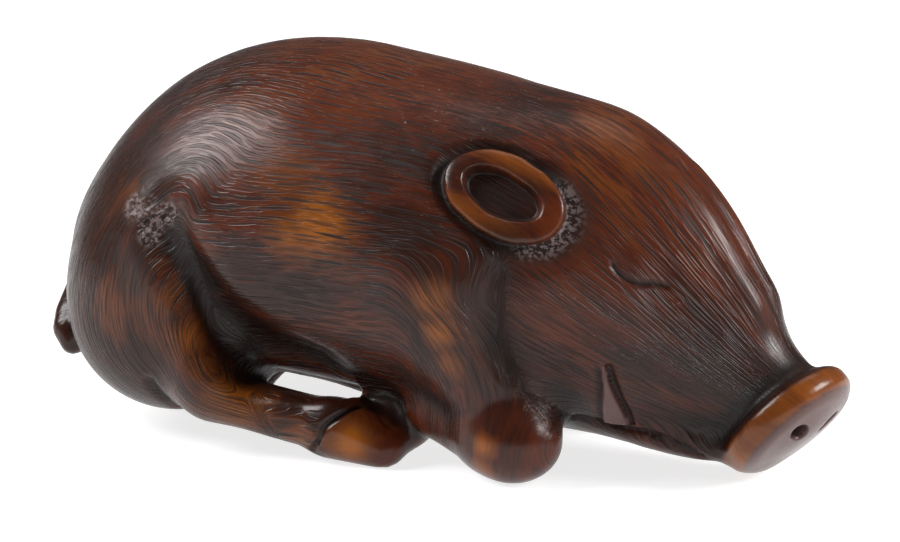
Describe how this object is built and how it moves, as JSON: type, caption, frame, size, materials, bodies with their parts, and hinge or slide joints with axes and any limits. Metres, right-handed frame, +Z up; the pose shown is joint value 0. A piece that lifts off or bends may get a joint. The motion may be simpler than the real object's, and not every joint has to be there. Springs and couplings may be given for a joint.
{
  "type": "netsuke",
  "caption": "Sleeping wild boar carved in the round from one piece of dark stained wood, with folded legs, a rounded rump and a flat snout.",
  "frame": {"origin": "centre of the carving's length and width, on the surface that it rests on", "axes": "+X towards the snout, +Y to the boar's left, +Z up"},
  "size_m": [0.051, 0.0231, 0.0232],
  "materials": {
    "stained_boxwood": "dark stained boxwood with a waxed gloss, engraved hair all over and rubbed orange-brown high spots"
  },
  "bodies": {
    "root": {"boar": "stained_boxwood"}
  },
  "joints": []
}
